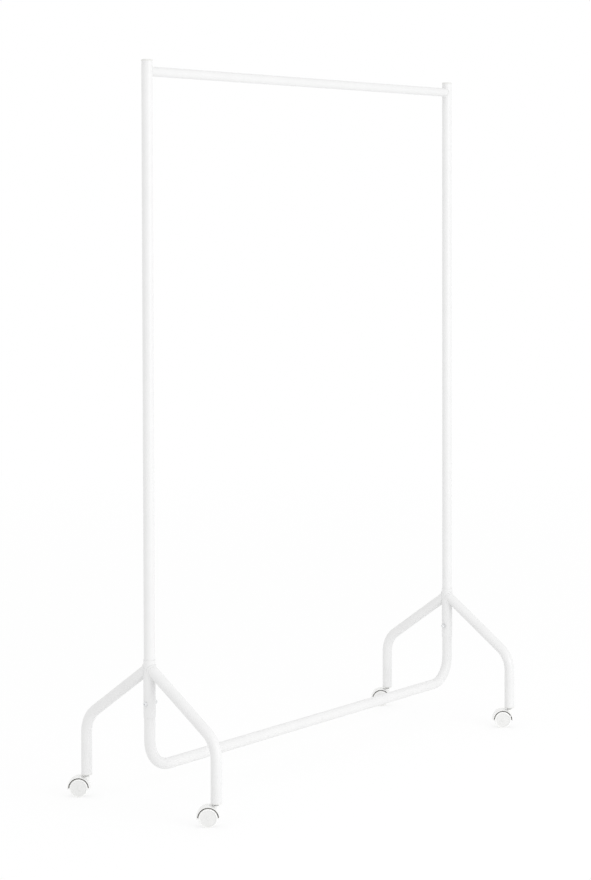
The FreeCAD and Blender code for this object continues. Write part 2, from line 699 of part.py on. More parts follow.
ends = {"left": ("-Sizes.post_x", "180"), "right": ("Sizes.post_x", "0")}
feet = {"front": ("-Sizes.foot_y", "180"), "back": ("Sizes.foot_y", "0")}

hangingRail()
baseFrame()
for side, (x, outward) in ends.items():
    upright(side, x)
    uprightCap(side, x)
    legSleeve(side, x)
    crossBolt(side, x, outward)
    domeNut(side, x, outward)
    for face, (y, backward) in feet.items():
        end = face + "_" + side
        leg(end, x, backward)
        footPlug(end, x, y)
        casterStem(end, x, y)
        casterClip(end, x, y)
        casterHood(end, x, y)
        casterAxle(end, x, y)
        casterWheel(end, x, y, "a", 0)
        casterWheel(end, x, y, "b", 180)

doc.recompute()
for item in doc.Objects:
    if "Invalid" in item.State or "Error" in item.State:
        raise RuntimeError(item.Name + " failed: " + ", ".join(item.State))
bodies = [item for item in doc.Objects if item.TypeId == "PartDesign::Body"]
for body in bodies:
    if body.Shape.isNull() or not body.Shape.isValid():
        raise RuntimeError(body.Label + " has no valid shape")
    if len(body.Shape.Solids) != 1:
        raise RuntimeError("%s is %d solids" % (body.Label, len(body.Shape.Solids)))

os.makedirs("parts", exist_ok=True)
for body in bodies:
    body.Shape.exportStep("parts/%s.step" % body.Label)
print(len(bodies), "sub-parts written")
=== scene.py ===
import json
import math

import bmesh
import bpy
from mathutils import Matrix, Vector


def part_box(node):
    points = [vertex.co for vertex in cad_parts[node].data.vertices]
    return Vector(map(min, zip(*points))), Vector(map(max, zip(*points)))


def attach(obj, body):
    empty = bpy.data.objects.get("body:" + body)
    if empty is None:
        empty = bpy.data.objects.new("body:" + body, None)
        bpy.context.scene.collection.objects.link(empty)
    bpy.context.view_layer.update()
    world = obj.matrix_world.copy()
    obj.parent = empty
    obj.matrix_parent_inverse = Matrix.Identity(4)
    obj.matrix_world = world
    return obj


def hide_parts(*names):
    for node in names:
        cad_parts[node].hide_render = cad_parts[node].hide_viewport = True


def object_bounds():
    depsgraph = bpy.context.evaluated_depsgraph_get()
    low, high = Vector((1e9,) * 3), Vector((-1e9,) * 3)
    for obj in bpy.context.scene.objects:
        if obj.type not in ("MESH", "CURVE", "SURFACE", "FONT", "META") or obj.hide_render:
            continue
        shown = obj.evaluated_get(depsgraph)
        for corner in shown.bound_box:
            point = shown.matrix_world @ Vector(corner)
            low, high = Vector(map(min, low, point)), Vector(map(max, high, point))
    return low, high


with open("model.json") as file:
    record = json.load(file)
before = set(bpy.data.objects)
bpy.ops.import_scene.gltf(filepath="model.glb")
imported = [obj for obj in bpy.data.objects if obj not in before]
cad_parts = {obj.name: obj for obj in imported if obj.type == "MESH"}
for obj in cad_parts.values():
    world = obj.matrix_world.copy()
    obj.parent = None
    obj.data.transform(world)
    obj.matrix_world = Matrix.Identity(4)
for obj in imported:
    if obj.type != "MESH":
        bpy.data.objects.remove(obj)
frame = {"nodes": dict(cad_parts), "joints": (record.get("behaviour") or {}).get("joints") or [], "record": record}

# A white tube-frame clothes rack on four hooded twin-wheel casters. The tubes, axles and clips
# are the frame's own nodes with a finish. Welds, caps, plugs, bolts, nuts, stems, hoods and
# wheels are modelled here, each as a closed mesh that lies where the frame has it.

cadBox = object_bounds()
mm = 0.001
sameSpot = 0.002 * mm       # corners nearer than this are one corner
scene = bpy.context.scene
joints = {joint["name"]: joint for joint in frame["joints"]}
slotOf = {part["node"]: part["material_slot"] for part in frame["record"]["subparts"]}
sideSigns = {"left": -1, "right": 1}
faceSigns = {"front": -1, "back": 1}
feet = [face + "_" + side for side in sideSigns for face in faceSigns]


def boxSize(node):
    low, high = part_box(node)
    return high - low


def boxMiddle(node):
    low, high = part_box(node)
    return (high + low) / 2


tubeRadius = boxSize("upright_left").x / 2
sleeveRadius = boxSize("leg_sleeve_left").x / 2
railRadius = boxSize("hanging_rail").z / 2
railHeight = boxMiddle("hanging_rail").z
postX = boxMiddle("upright_right").x
boltHeight = boxMiddle("cross_bolt_left").z


# Materials. Sizes inside a pattern are real ones in millimetres.

def toLinear(hexColour):
    values = []
    for start in (0, 2, 4):
        channel = int(hexColour[start:start + 2], 16) / 255
        if channel <= 0.04045:
            values.append(channel / 12.92)
        else:
            values.append(((channel + 0.055) / 1.055) ** 2.4)
    return (*values, 1.0)


def perMetre(sizeInMm):
    return 1000 / sizeInMm      # a pattern scale whose features are about this size


def addNode(tree, kind, settings=None, inputs=None):
    node = tree.nodes.new(kind)
    for name, value in (settings or {}).items():
        setattr(node, name, value)
    for name, value in (inputs or {}).items():
        if isinstance(value, bpy.types.NodeSocket):
            tree.links.new(value, node.inputs[name])
        else:
            node.inputs[name].default_value = value
    return node


def blankMaterial(name):
    material = bpy.data.materials.new(name)
    material.use_nodes = True
    tree = material.node_tree
    tree.nodes.clear()
    place = addNode(tree, "ShaderNodeTexCoord").outputs["Object"]
    return material, tree, place


def mixColours(tree, amount, first, second):
    blend = {"data_type": "RGBA", "blend_type": "MIX"}
    node = addNode(tree, "ShaderNodeMix", blend, {0: amount, 6: first, 7: second})
    return node.outputs[2]


def fade(tree, value, start, end, low=0.0, high=1.0):
    ends = {"Value": value, "From Min": start, "From Max": end, "To Min": low, "To Max": high}
    return addNode(tree, "ShaderNodeMapRange", {"clamp": True}, ends).outputs["Result"]


def multiply(tree, first, second):
    return addNode(tree, "ShaderNodeMath", {"operation": "MULTIPLY"},
                   {0: first, 1: second}).outputs[0]


def speckle(tree, place, size, detail=2.0, stretch=(1, 1, 1)):
    spread = addNode(tree, "ShaderNodeMapping", None, {"Vector": place, "Scale": stretch})
    return addNode(tree, "ShaderNodeTexNoise", None,
                   {"Vector": spread.outputs[0], "Scale": perMetre(size), "Detail": detail,
                    "Roughness": 0.55}).outputs["Fac"]


def finishMaterial(tree, shader, height, depth, strength):
    relief = addNode(tree, "ShaderNodeBump", None,
                     {"Height": height, "Distance": depth, "Strength": strength})
    surface = addNode(tree, "ShaderNodeBsdfPrincipled", None,
                      {"Normal": relief.outputs[0], **shader})
    addNode(tree, "ShaderNodeOutputMaterial", None, {"Surface": surface.outputs[0]})


powderSizes = {
    "frame": ("E6E6E6", "DFDFDF"),      # uneven film, from thick to thin
    "rail": ("E4E4E4", "DEDEDE"),
    "cloud": 45,            # patches of thicker film
    "peel": 1.5,            # orange peel, drawn at its real size
    "peelDepth": 0.05 * mm,
    "peelStrength": 0.35,
    "gloss": (0.36, 0.44),
    "wear": 0.55,           # strength of the rubbed tone
    "nib": 0.5,             # dust caught in the film
    "rubTone": "D0D0CF",    # where hooks or shoes have polished the film
    "hookMark": 0.7,        # width of one hanger hook's mark
    "hookReach": 4 * mm,    # marks lie on the top of the rail
    "scuff": 9,             # a shoe's or a door's scuff
    "scuffTop": 140 * mm,   # scuffs lie low on the frame
}


def powderCoat(name, kind):
    # Polyester powder, sprayed and baked on steel: a satin white film with a faint orange peel.
    material, tree, place = blankMaterial(name)
    cloud = speckle(tree, place, powderSizes["cloud"], 3.0)
    thick, thin = powderSizes[kind]
    film = mixColours(tree, cloud, toLinear(thin), toLinear(thick))
    heights = addNode(tree, "ShaderNodeSeparateXYZ", None, {"Vector": place}).outputs["Z"]
    if kind == "rail":
        # hooks are slid along the top of the rail, each one a narrow ring of polish
        rings = speckle(tree, place, powderSizes["hookMark"], 3.0, (1, 0.06, 0.06))
        railTop = railHeight + railRadius
        onTop = fade(tree, heights, railTop - powderSizes["hookReach"], railTop)
        worn = multiply(tree, fade(tree, rings, 0.54, 0.68), onTop)
    else:
        patches = speckle(tree, place, powderSizes["scuff"], 4.0, (1, 1, 0.35))
        lowDown = fade(tree, heights, powderSizes["scuffTop"], powderSizes["scuffTop"] / 3)
        worn = multiply(tree, fade(tree, patches, 0.60, 0.72), lowDown)
    tone = mixColours(tree, multiply(tree, worn, powderSizes["wear"]), film,
                      toLinear(powderSizes["rubTone"]))
    peel = speckle(tree, place, powderSizes["peel"], 1.5)
    nibs = fade(tree, speckle(tree, place, powderSizes["nib"], 0.0), 0.72, 0.80)
    relief = addNode(tree, "ShaderNodeMath", {"operation": "ADD"}, {0: peel, 1: nibs})
    gloss = fade(tree, cloud, 0.3, 0.7, *powderSizes["gloss"])
    shader = {"Base Color": tone, "Roughness": gloss, "IOR": 1.5}
    finishMaterial(tree, shader, relief.outputs[0], powderSizes["peelDepth"],
                   powderSizes["peelStrength"])
    return material


plasticSizes = {
    "cap": {"light": "E2E2E0", "shade": "D8D8D6", "gloss": (0.42, 0.52), "grain": 0.6},
    "hood": {"light": "F0F0EF", "shade": "EAEAE9", "gloss": (0.24, 0.32), "grain": 0.9},
    # painted shade: a darker tone for the hood's inside, standing in for the shadow in the gap over the wheels
    "inside": {"light": "C9C8C5", "shade": "BAB9B5", "gloss": (0.60, 0.72), "grain": 1.2},
    "wheel": {"light": "E4E4E3", "shade": "DDDDDC", "gloss": (0.46, 0.56), "grain": 0.7},
    # painted highlight: a lighter tone for the rims and treads of the wheels, standing in for the light they catch
    "rimHighlight": {"light": "F6F6F5", "shade": "F0F0EF", "gloss": (0.52, 0.62), "grain": 0.5},
    "flow": 14,             # streaks where the melt ran
    "grainDepth": 0.02 * mm,
    "dirt": "C6C5C1",       # floor dust pressed into a tread
    "dirtPatch": 3,
}


def mouldedPlastic(name, kind, treadRadius=None):
    # Injection moulded: an even skin, faintly streaked where the melt ran, over a fine grain.
    material, tree, place = blankMaterial(name)
    sizes = plasticSizes[kind]
    flow = speckle(tree, place, plasticSizes["flow"], 2.0, (1, 1, 2.5))
    tone = mixColours(tree, flow, toLinear(sizes["shade"]), toLinear(sizes["light"]))
    grain = speckle(tree, place, sizes["grain"], 2.0)
    if treadRadius:
        # dust stays on the lowest part of the wheels, where they have stood on the floor
        heights = addNode(tree, "ShaderNodeSeparateXYZ", None, {"Vector": place}).outputs["Z"]
        low = fade(tree, heights, treadRadius * 0.35, 0.0)
        patches = fade(tree, speckle(tree, place, plasticSizes["dirtPatch"], 4.0), 0.45, 0.65)
        dusty = multiply(tree, multiply(tree, low, patches), 0.5)
        tone = mixColours(tree, dusty, tone, toLinear(plasticSizes["dirt"]))
    gloss = fade(tree, flow, 0.3, 0.7, *sizes["gloss"])
    shader = {"Base Color": tone, "Roughness": gloss, "IOR": 1.52}
    finishMaterial(tree, shader, grain, plasticSizes["grainDepth"], 0.3)
    return material


zincSizes = {
    "bolt": {"bright": "ECEDEE", "dull": "DEDFE0", "gloss": (0.30, 0.20)},      # polished
    "stem": {"bright": "B7B8B9", "dull": "9C9D9D", "gloss": (0.44, 0.32)},      # barrel plated
    "bloom": 5,             # patches of bloom
    "crystal": 0.35,        # grain of the plate
    "crystalDepth": 0.01 * mm,
}


def zincPlate(name, kind):
    # Electroplated zinc on turned steel: bright where it is polished, cloudy where it has greyed.
    material, tree, place = blankMaterial(name)
    sizes = zincSizes[kind]
    bloom = speckle(tree, place, zincSizes["bloom"], 4.0)
    tone = mixColours(tree, bloom, toLinear(sizes["dull"]), toLinear(sizes["bright"]))
    crystals = speckle(tree, place, zincSizes["crystal"], 2.0)
    gloss = fade(tree, bloom, 0.3, 0.7, *sizes["gloss"])
    shader = {"Base Color": tone, "Metallic": 1.0, "Roughness": gloss}
    finishMaterial(tree, shader, crystals, zincSizes["crystalDepth"], 0.3)
    return material


framePowder = powderCoat("frame_powder_coat", "frame")
railPowder = powderCoat("rail_powder_coat", "rail")
capPlastic = mouldedPlastic("moulded_polyethylene", "cap")
hoodPlastic = mouldedPlastic("moulded_glossy_nylon", "hood")
# the hood's inside is darkened to paint the shade in the gap between hood and wheels
hoodInsidePaintedShade = mouldedPlastic("hood_inside_painted_shade", "inside")
wheelHeight = boxSize("caster_wheel_back_left_a").z
wheelPlastic = mouldedPlastic("moulded_wheel_nylon", "wheel", wheelHeight / 2)
# the wheels' rims and treads are lightened to paint the highlight they catch
rimPaintedHighlight = mouldedPlastic("wheel_rim_painted_highlight", "rimHighlight", wheelHeight / 2)
boltSteel = zincPlate("polished_zinc_plate", "bolt")
zincSteel = zincPlate("dull_zinc_plate", "stem")
finishOf = {"powder_coat": framePowder, "cap_plastic": capPlastic, "hood_plastic": hoodPlastic,
            "wheel_plastic": wheelPlastic, "zinc_steel": zincSteel}

for nodeName, node in frame["nodes"].items():
    node.data.materials.clear()
    node.data.materials.append(railPowder if nodeName == "hanging_rail" else finishOf[slotOf[nodeName]])
print("finishes on", len(frame["nodes"]), "nodes")


# Tools for the pieces modelled here.

def newPiece(bm, name, slotName, body, replaced=(), creaseAngle=32, finish=None, second=None):
    # faces marked 1 take the second finish
    bmesh.ops.remove_doubles(bm, verts=bm.verts, dist=sameSpot)
    bmesh.ops.recalc_face_normals(bm, faces=bm.faces)
    mesh = bpy.data.meshes.new(name)
    bm.to_mesh(mesh)
    bm.free()
    mesh.shade_smooth()
    mesh.set_sharp_from_angle(angle=math.radians(creaseAngle))
    mesh.materials.append(finish or finishOf[slotName])
    if second:
        mesh.materials.append(second)
    piece = bpy.data.objects.new(name, mesh)
    scene.collection.objects.link(piece)
    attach(piece, body)
    if replaced:
        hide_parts(*replaced)


def turned(outline, closed=False, steps=96):
    # a lathe shape about Z: each corner is a radius, a height and how much it is rounded
    bm = bmesh.new()
    corners = [bm.verts.new((radius, 0, height)) for radius, height, _ in outline]
    for first, second in zip(corners, corners[1:]):
        bm.edges.new((first, second))
    if closed:
        bm.edges.new((corners[-1], corners[0]))
    bmesh.ops.spin(bm, geom=bm.verts[:] + bm.edges[:], cent=(0, 0, 0), axis=(0, 0, 1),
                   angle=math.tau, steps=steps, use_merge=True)
    bmesh.ops.remove_doubles(bm, verts=bm.verts, dist=sameSpot)
    for radius, height, rounding in outline:
        if rounding:
            ring = [edge for edge in bm.edges if onRing(edge, radius, height)]
            bmesh.ops.bevel(bm, geom=ring, offset=rounding, offset_type="OFFSET", segments=4,
                            affect="EDGES", profile=0.5, material=-1)
    bmesh.ops.recalc_face_normals(bm, faces=bm.faces)
    return bm


def onRing(edge, radius, height):
    for vert in edge.verts:
        if abs(vert.co.z - height) > sameSpot:
            return False
        if abs(math.hypot(vert.co.x, vert.co.y) - radius) > sameSpot:
            return False
    return True


def hexagonBar(flats, low, high, rounding):
    bm = bmesh.new()
    bmesh.ops.create_circle(bm, cap_ends=True, segments=6, radius=flats / math.sqrt(3))
    bmesh.ops.translate(bm, verts=bm.verts, vec=(0, 0, low))
    made = bmesh.ops.extrude_face_region(bm, geom=bm.faces[:])
    top = [item for item in made["geom"] if isinstance(item, bmesh.types.BMVert)]
    bmesh.ops.translate(bm, verts=top, vec=(0, 0, high - low))
    if rounding:
        bmesh.ops.bevel(bm, geom=bm.edges[:], offset=rounding, offset_type="OFFSET", segments=3,
                        affect="EDGES", profile=0.5, material=-1)
    bmesh.ops.recalc_face_normals(bm, faces=bm.faces)
    return bm


def looseObject(bm):
    mesh = bpy.data.meshes.new("loose")
    bm.to_mesh(mesh)
    bm.free()
    piece = bpy.data.objects.new("loose", mesh)
    scene.collection.objects.link(piece)
    return piece


def combined(base, tool, operation):
    # UNION or DIFFERENCE of two closed shapes, which are both used up
    target = looseObject(base)
    other = looseObject(tool)
    modifier = target.modifiers.new("shape", "BOOLEAN")
    modifier.object = other
    modifier.operation = operation
    modifier.solver = "EXACT"
    return bakedMesh(target, other)


def bakedMesh(piece, *others):
    shown = piece.evaluated_get(bpy.context.evaluated_depsgraph_get())
    bm = bmesh.new()
    bm.from_mesh(shown.to_mesh())
    shown.to_mesh_clear()
    for used in (piece, *others):
        mesh = used.data
        bpy.data.objects.remove(used)
        bpy.data.meshes.remove(mesh)
    return bm


def moved(bm, matrix):
    bmesh.ops.transform(bm, matrix=matrix, verts=bm.verts)
    return bm


# Weld beads. A ring is spun round the branch tube, then slid along it onto the saddle where
# the branch meets the round of the post.

weldSizes = {
    "rail": {"crown": 2.1 * mm, "flank": 1.3 * mm},
    "leg": {"crown": 2.4 * mm, "flank": 1.3 * mm},
    "ripple": 1.9 * mm,         # one solidified pool to the next
    "rippleDepth": 0.12,        # of the bead's own size
    "legSlope": 35.5,           # degrees below level
    "start": 250,               # where the weld began and ended, in degrees round the branch
    "startWidth": 9,            # degrees
    "startLump": 0.22,          # extra size there
    "standOff": 0.15,           # middle of the bead off the branch, of the bead's own size
    "ring": 10,                 # radius of the plain ring that is shaped into a bead
}


def weldBead(branchRadius, postRadius, slope, sizes):
    ring = weldSizes["ring"]
    bm = bmesh.new()
    bmesh.ops.create_circle(bm, cap_ends=False, segments=14, radius=1)
    bmesh.ops.rotate(bm, verts=bm.verts, cent=(0, 0, 0), matrix=Matrix.Rotation(math.pi / 2, 3, "X"))
    ripples = round(math.tau * branchRadius / weldSizes["ripple"])
    steps = ripples * 6
    bmesh.ops.translate(bm, verts=bm.verts, vec=(ring, 0, 0))
    bmesh.ops.spin(bm, geom=bm.verts[:] + bm.edges[:], cent=(0, 0, 0), axis=(0, 0, 1),
                   angle=math.tau, steps=steps, use_merge=True)
    sine = math.sin(slope)
    cosine = math.cos(slope)
    for vert in bm.verts:
        around = math.atan2(vert.co.y, vert.co.x)
        outward = math.hypot(vert.co.x, vert.co.y) - ring
        along = vert.co.z
        steepness = abs(math.sin(around))
        size = sizes["flank"] + (sizes["crown"] - sizes["flank"]) * steepness ** 1.5
        wave = math.cos(around * ripples)
        size *= 1 + weldSizes["rippleDepth"] * (0.5 * wave + 0.5 * abs(wave))
        fromStart = (math.degrees(around) - weldSizes["start"] + 180) % 360 - 180
        size *= 1 + weldSizes["startLump"] * math.exp(-(fromStart / weldSizes["startWidth"]) ** 2)
        reach = math.sqrt(postRadius ** 2 - (branchRadius * math.cos(around)) ** 2)
        saddle = (reach - branchRadius * math.sin(around) * sine) / cosine
        radius = branchRadius + weldSizes["standOff"] * size + outward * size
        vert.co = (radius * math.cos(around), radius * math.sin(around), saddle + along * size)
    bmesh.ops.recalc_face_normals(bm, faces=bm.faces)
    return bm


def alongBranch(root, outward, slope):
    # the weld's own Z runs along the branch, and its Y is the branch's upper side
    out = Vector(outward)
    up = Vector((0, 0, 1))
    axis = out * math.cos(slope) - up * math.sin(slope)
    top = out * math.sin(slope) + up * math.cos(slope)
    across = top.cross(axis)
    matrix = Matrix((across, top, axis)).transposed().to_4x4()
    return Matrix.Translation(root) @ matrix


legSlope = math.radians(weldSizes["legSlope"])
for side, sign in sideSigns.items():
    bead = weldBead(railRadius, tubeRadius, 0, weldSizes["rail"])
    root = (sign * postX, 0, railHeight)
    newPiece(moved(bead, alongBranch(root, (-sign, 0, 0), 0)), "rail_weld_" + side, "powder_coat", "rack")
    for face, faceSign in faceSigns.items():
        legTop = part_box("leg_%s_%s" % (face, side))[1].z
        apex = legTop + sleeveRadius * math.tan(legSlope) - tubeRadius / math.cos(legSlope)
        bead = weldBead(tubeRadius, sleeveRadius, legSlope, weldSizes["leg"])
        root = (sign * postX, 0, apex)
        newPiece(moved(bead, alongBranch(root, (0, faceSign, 0), legSlope)),
                 "leg_weld_%s_%s" % (face, side), "powder_coat", "rack")
print("welds done")


# Caps on the uprights and plugs in the feet.

capSizes = {
    "edge": 2.0 * mm,           # rounded top edge
    "crown": 0.45 * mm,         # rise of the top from its edge to its middle
    "tubeWall": 1.2 * mm,
    "fit": 0.05 * mm,
    "wall": 1.8 * mm,
    "ceiling": 3.4 * mm,        # thickness of the top
    "gate": 1.1 * mm,           # mark where the plastic entered the mould
    "gateDepth": 0.3 * mm,
    "gateEdge": 0.1 * mm,
    "topBend": 1.5 * mm,        # where the crown starts to fall
    "rimEdge": 0.25 * mm,
    "skirtTip": 0.6 * mm,
    "boreTip": 0.4 * mm,
    "boreCorner": 0.8 * mm,
}
plugRadius = tubeRadius - capSizes["tubeWall"] - capSizes["fit"]


def uprightCap(side):
    node = "upright_cap_" + side
    low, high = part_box(node)
    rim = boxSize(node).x / 2
    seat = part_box("upright_" + side)[1].z
    bore = plugRadius - capSizes["wall"]
    ceiling = high.z - capSizes["ceiling"]
    edge = high.z - capSizes["crown"]
    gate = capSizes["gate"]
    shoulder = high.z - capSizes["crown"] / 4
    bm = turned([
        (0, high.z - capSizes["gateDepth"], 0), (gate * 0.8, high.z - capSizes["gateDepth"], 0),
        (gate, high.z, capSizes["gateEdge"]), (rim * 0.55, shoulder, capSizes["topBend"]),
        (rim, edge, capSizes["edge"]), (rim, seat, capSizes["rimEdge"]), (plugRadius, seat, 0),
        (plugRadius, low.z, capSizes["skirtTip"]), (bore, low.z, capSizes["boreTip"]),
        (bore, ceiling, capSizes["boreCorner"]), (0, ceiling, 0)])
    matrix = Matrix.Translation((sideSigns[side] * postX, 0, 0))
    newPiece(moved(bm, matrix), "cap_" + side, "cap_plastic", "rack", [node])


plugSizes = {
    "holeRadius": 5.1 * mm,
    "holeEdge": 0.3 * mm,
    "edge": 0.9 * mm,           # lower edge of the flange
    "upperEdge": 0.3 * mm,
    "barbs": 4,
    "barbDepth": 0.5 * mm,
    "firstBarb": 4 * mm,        # above the end of the leg
    "barbWaist": 0.2,           # how far up a barb is narrowest
    "barbTop": 0.9,             # how far up it is widest again
}


def footPlug(end):
    node = "foot_plug_" + end
    low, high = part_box(node)
    flange = boxSize(node).x / 2
    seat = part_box("leg_" + end)[0].z
    hole = plugSizes["holeRadius"]
    outline = [(hole, low.z, plugSizes["holeEdge"]), (flange, low.z, plugSizes["edge"]),
               (flange, seat, plugSizes["upperEdge"]), (plugRadius, seat, 0)]
    rise = (high.z - seat - plugSizes["firstBarb"]) / plugSizes["barbs"]
    for index in range(plugSizes["barbs"]):
        foot = seat + plugSizes["firstBarb"] + index * rise
        outline.append((plugRadius, foot, 0))
        outline.append((plugRadius - plugSizes["barbDepth"], foot + plugSizes["barbWaist"] * rise, 0))
        outline.append((plugRadius, foot + plugSizes["barbTop"] * rise, 0))
    outline.append((plugRadius - plugSizes["barbDepth"], high.z, 0))
    outline.append((hole, high.z, plugSizes["holeEdge"]))
    centre = boxMiddle(node)
    bm = turned(outline, closed=True)
    newPiece(moved(bm, Matrix.Translation((centre.x, centre.y, 0))), "plug_" + end, "cap_plastic",
             "rack", [node])


for side in sideSigns:
    uprightCap(side)
for end in feet:
    footPlug(end)
print("caps and plugs done")


# Cross bolts, heads outward, and their dome nuts inside.

boltSizes = {
    "shank": 3 * mm,            # radius
    "head": 5.25 * mm,          # radius
    "headRound": 2.3 * mm,
    "headEdge": 0.3 * mm,
    "socket": 4 * mm,           # across flats
    "socketDepth": 2 * mm,
    "tip": 0.7 * mm,
    "nutFlats": 10 * mm,
    "nutHexagon": 5.5 * mm,     # height
    "nutDome": 4.5 * mm,        # radius
    "nutDomeRound": 3.5 * mm,
    "nutBore": 3.05 * mm,
    "nutBoreDepth": 7.1 * mm,
    "nutEdge": 0.35 * mm,
    "cutPast": 1 * mm,          # a cutting shape stands this far out of the metal
}


def crossBolt(side):
    node = "cross_bolt_" + side
    reach = boxSize(node).x
    inner = abs(boxMiddle(node).x) - reach / 2 - postX
    headTop = inner + reach
    bm = turned([
        (0, inner, 0), (boltSizes["shank"], inner, boltSizes["tip"]),
        (boltSizes["shank"], sleeveRadius, 0), (boltSizes["head"], sleeveRadius, boltSizes["headEdge"]),
        (boltSizes["head"], headTop, boltSizes["headRound"]), (0, headTop, 0)])
    socket = hexagonBar(boltSizes["socket"], headTop - boltSizes["socketDepth"],
                        headTop + boltSizes["cutPast"], 0)
    bm = combined(bm, socket, "DIFFERENCE")
    newPiece(moved(bm, acrossPost(side)), "bolt_" + side, "zinc_steel", "rack", [node],
             finish=boltSteel)


def domeNut(side):
    node = "dome_nut_" + side
    tall = boxSize(node).x
    flats = hexagonBar(boltSizes["nutFlats"], -sleeveRadius - boltSizes["nutHexagon"], -sleeveRadius,
                       boltSizes["nutEdge"])
    mouth = -sleeveRadius + boltSizes["cutPast"]
    dome = turned([
        (0, -sleeveRadius - tall, 0),
        (boltSizes["nutDome"], -sleeveRadius - tall, boltSizes["nutDomeRound"]),
        (boltSizes["nutDome"], -sleeveRadius - boltSizes["nutHexagon"] / 2, 0),
        (0, -sleeveRadius - boltSizes["nutHexagon"] / 2, 0)])
    bore = turned([
        (0, -sleeveRadius - boltSizes["nutBoreDepth"], 0),
        (boltSizes["nutBore"], -sleeveRadius - boltSizes["nutBoreDepth"], 0),
        (boltSizes["nutBore"], mouth, 0), (0, mouth, 0)], steps=48)
    bm = combined(combined(flats, dome, "UNION"), bore, "DIFFERENCE")
    newPiece(moved(bm, acrossPost(side)), "nut_" + side, "zinc_steel", "rack", [node],
             finish=boltSteel)


def acrossPost(side):
    # the bolt's own Z points away from the middle of the rack
    sign = sideSigns[side]
    return Matrix.Translation((sign * postX, 0, boltHeight)) @ Matrix.Rotation(sign * math.pi / 2, 4, "Y")


for side in sideSigns:
    crossBolt(side)
    domeNut(side)
print("bolts and nuts done")


# Caster stems: a rolled thread above a hexagonal collar, a plain journal below.

stemSizes = {
    "thread": 5 * mm,           # outside radius
    "pitch": 1.5 * mm,
    "threadDepth": 0.8 * mm,
    "threadStart": 0.5 * mm,    # above the collar
    "ridge": (0.42, 0.55, 0.97),    # where its crest starts and ends and its foot ends, in pitches
    "ridgeSink": 0.1 * mm,      # into the core
    "turnSteps": 32,
    "journal": 4 * mm,          # radius
    "groove": 3.3 * mm,         # radius
    "grooveGap": 0.1 * mm,      # above and below the clip
    "collar": 11 * mm,          # across flats
    "collarHeight": 2.6 * mm,
    "collarGap": 0.5 * mm,      # from the hood's boss up to the collar
    "collarEdge": 0.4 * mm,
    "tip": 0.8 * mm,
}


def threadRidge(low, high):
    # one long triangular ridge, wound up the stem
    pitch = stemSizes["pitch"]
    outer = stemSizes["thread"]
    root = outer - stemSizes["threadDepth"] - stemSizes["ridgeSink"]
    crestStart, crestEnd, foot = stemSizes["ridge"]
    bm = bmesh.new()
    corners = [bm.verts.new((root, 0, low)), bm.verts.new((outer, 0, low + crestStart * pitch)),
               bm.verts.new((outer, 0, low + crestEnd * pitch)),
               bm.verts.new((root, 0, low + foot * pitch))]
    bm.faces.new(corners)
    turns = (high - low) / pitch - 1
    steps = round(turns * stemSizes["turnSteps"])
    bmesh.ops.spin(bm, geom=bm.verts[:] + bm.edges[:] + bm.faces[:], cent=(0, 0, 0), axis=(0, 0, 1),
                   dvec=(0, 0, pitch * turns / steps), angle=math.tau * turns, steps=steps)
    return bm


def casterStem(end):
    node = "caster_stem_" + end
    low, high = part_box(node)
    clipLow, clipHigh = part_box("caster_clip_" + end)
    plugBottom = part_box("foot_plug_" + end)[0].z
    journal = stemSizes["journal"]
    groove = stemSizes["groove"]
    core = stemSizes["thread"] - stemSizes["threadDepth"]
    grooveLow = clipLow.z - stemSizes["grooveGap"]
    grooveHigh = clipHigh.z + stemSizes["grooveGap"]
    bm = turned([
        (0, low.z, 0), (journal, low.z, stemSizes["tip"]), (journal, grooveLow, 0),
        (groove, grooveLow, 0), (groove, grooveHigh, 0), (journal, grooveHigh, 0),
        (journal, plugBottom, 0), (core, plugBottom, 0), (core, high.z, stemSizes["tip"]),
        (0, high.z, 0)], steps=64)
    collar = hexagonBar(stemSizes["collar"], plugBottom - stemSizes["collarHeight"], plugBottom,
                        stemSizes["collarEdge"])
    bm = combined(bm, collar, "UNION")
    ridge = threadRidge(plugBottom + stemSizes["threadStart"], high.z - stemSizes["tip"])
    bm = combined(bm, ridge, "UNION")
    centre = boxMiddle(node)
    newPiece(moved(bm, Matrix.Translation((centre.x, centre.y, 0))), "stem_" + end, "zinc_steel",
             "rack", [node])


for end in feet:
    casterStem(end)
print("stems done")


# Caster hoods and wheels, modelled once about the middle of the axle: X the way the wheels
# trail, Y along the axle, Z up.

hoodSizes = {
    "inside": 24.2 * mm,        # radius
    "edge": 25.6 * mm,          # outside radius at the sides
    "crest": 26.8 * mm,         # outside radius in the middle
    "half": 15.6 * mm,          # half its width
    "wrap": 192,                # degrees round the axle
    "web": 5 * mm,
    "hub": 6 * mm,              # radius
    "hubHalf": 6.5 * mm,
    "boss": 6.5 * mm,           # radius
    "bossFoot": 9.5 * mm,       # above the axle
    "bossEdge": 1 * mm,
    "stemHole": 4.05 * mm,
    "stemHoleFoot": 5 * mm,     # above the axle
    "axleHole": 2.52 * mm,
    "clipHole": 5.2 * mm,
    "clipRoom": 0.2 * mm,       # above the clip
    "cutPast": 5 * mm,          # a cutting shape stands this far out of the moulding
    "crownSteps": 6,            # to each side of the crest
    "voxel": 0.4 * mm,          # the moulding's rounded corners come from this
    "smoothings": 4,
    "keptFaces": 0.3,
    "paintedShadeSkin": 0.15 * mm,    # faces this near the inside take a darker tone, painted shade for the gap over the wheels
}


